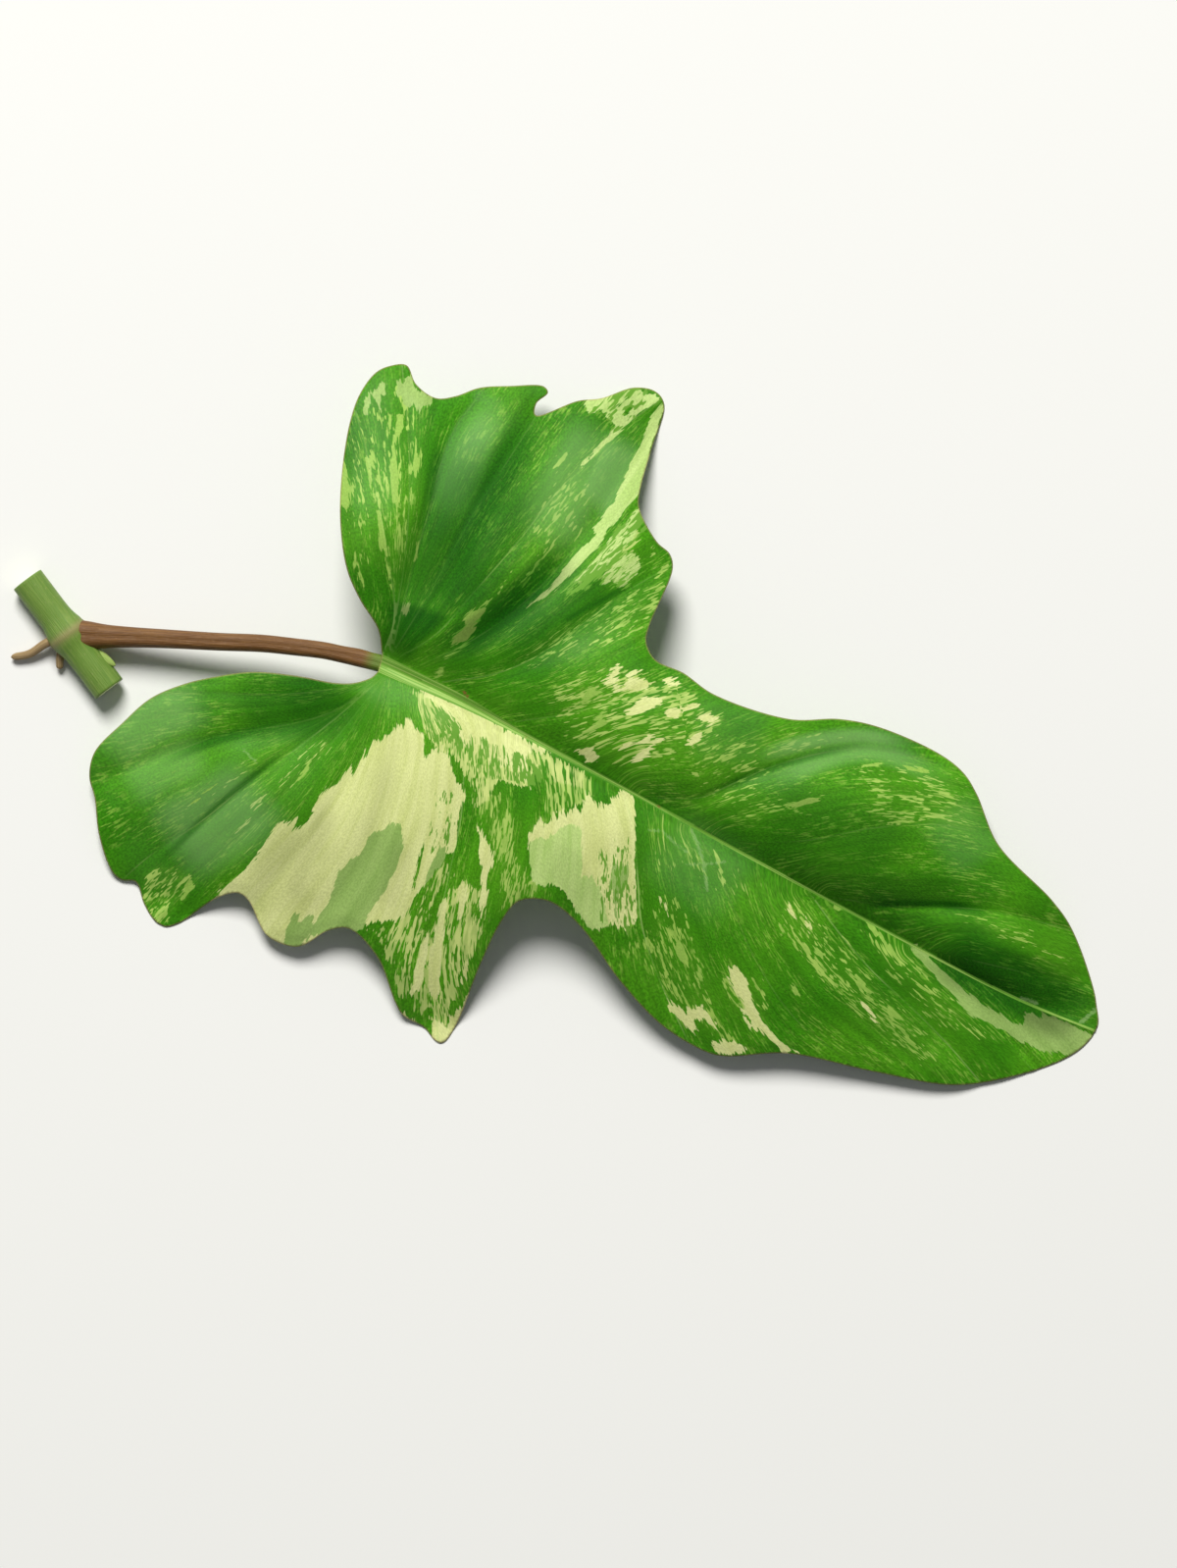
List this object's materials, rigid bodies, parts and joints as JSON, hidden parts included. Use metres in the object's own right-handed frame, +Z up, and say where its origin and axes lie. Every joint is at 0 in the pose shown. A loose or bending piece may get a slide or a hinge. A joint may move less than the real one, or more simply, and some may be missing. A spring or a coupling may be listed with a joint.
{
  "type": "philodendron cutting",
  "caption": "Cut philodendron leaf, lobed and variegated in green and cream, on its stalk with the short stem piece it grew from, lying face up.",
  "frame": {"origin": "on the surface that the cutting lies on, under the middle of its box", "axes": "+X along the midrib towards the leaf's tip, +Y towards the leaf's upper side lobe in the picture, +Z up out of the leaf's upper face"},
  "size_m": [0.3582, 0.2162, 0.0352],
  "materials": {
    "leaf": "satin",
    "stalk": "satin",
    "stem": "satin"
  },
  "bodies": {
    "root": {"leaf_blade": "leaf", "leaf_stalk": "stalk", "stem_piece": "stem"}
  },
  "joints": []
}
